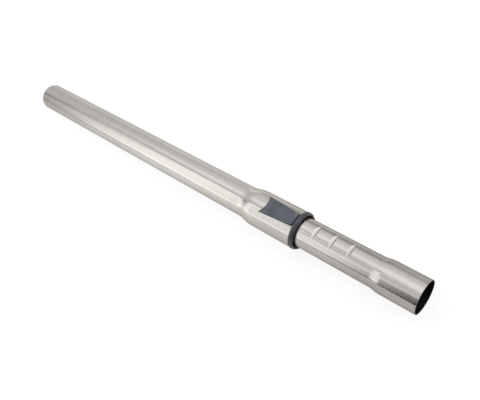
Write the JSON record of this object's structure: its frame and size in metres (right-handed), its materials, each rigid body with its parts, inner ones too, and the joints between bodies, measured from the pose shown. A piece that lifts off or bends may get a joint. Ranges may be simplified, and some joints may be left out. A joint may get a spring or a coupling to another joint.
{
  "type": "telescopic vacuum wand",
  "caption": "Telescopic steel suction tube with a belled end, thumb slide button, notched inner tube and flared mouth; joins a vacuum hose handle to a floor tool.",
  "frame": {"origin": "centre of the outer tube's plain end, on the tube's axis", "axes": "+X along the tube from the plain end to the flared mouth, +Z through the thumb button"},
  "size_m": [0.587, 0.0416, 0.0433],
  "materials": {
    "outer_steel": "brushed round the tube",
    "inner_steel": "brushed round the tube",
    "collar_plastic": "fine moulded grain",
    "sleeve_plastic": "moulded",
    "button_plastic": "fine moulded grain",
    "seal_rubber": "matt",
    "spring_steel": "rolled"
  },
  "bodies": {
    "outer": {"outer_tube": "outer_steel", "guide_sleeve": "sleeve_plastic", "end_collar": "collar_plastic", "seal_ring": "seal_rubber", "catch_spring": "spring_steel"},
    "inner": {"inner_tube": "inner_steel", "rear_guide": "sleeve_plastic"},
    "button": {"slide_button": "button_plastic"}
  },
  "joints": [
    {"name": "tube_slide", "type": "slide", "parent": "outer", "child": "inner", "axis": [1, 0, 0], "range_m": [-0.08, 0.28], "deforming": ["catch_spring"]},
    {"name": "button_slide", "type": "slide", "parent": "outer", "child": "button", "axis": [1, 0, 0], "range_m": [0, 0.0026], "stiffness_N_per_m": 400, "springref_m": -0.004, "deforming": ["catch_spring"]}
  ]
}
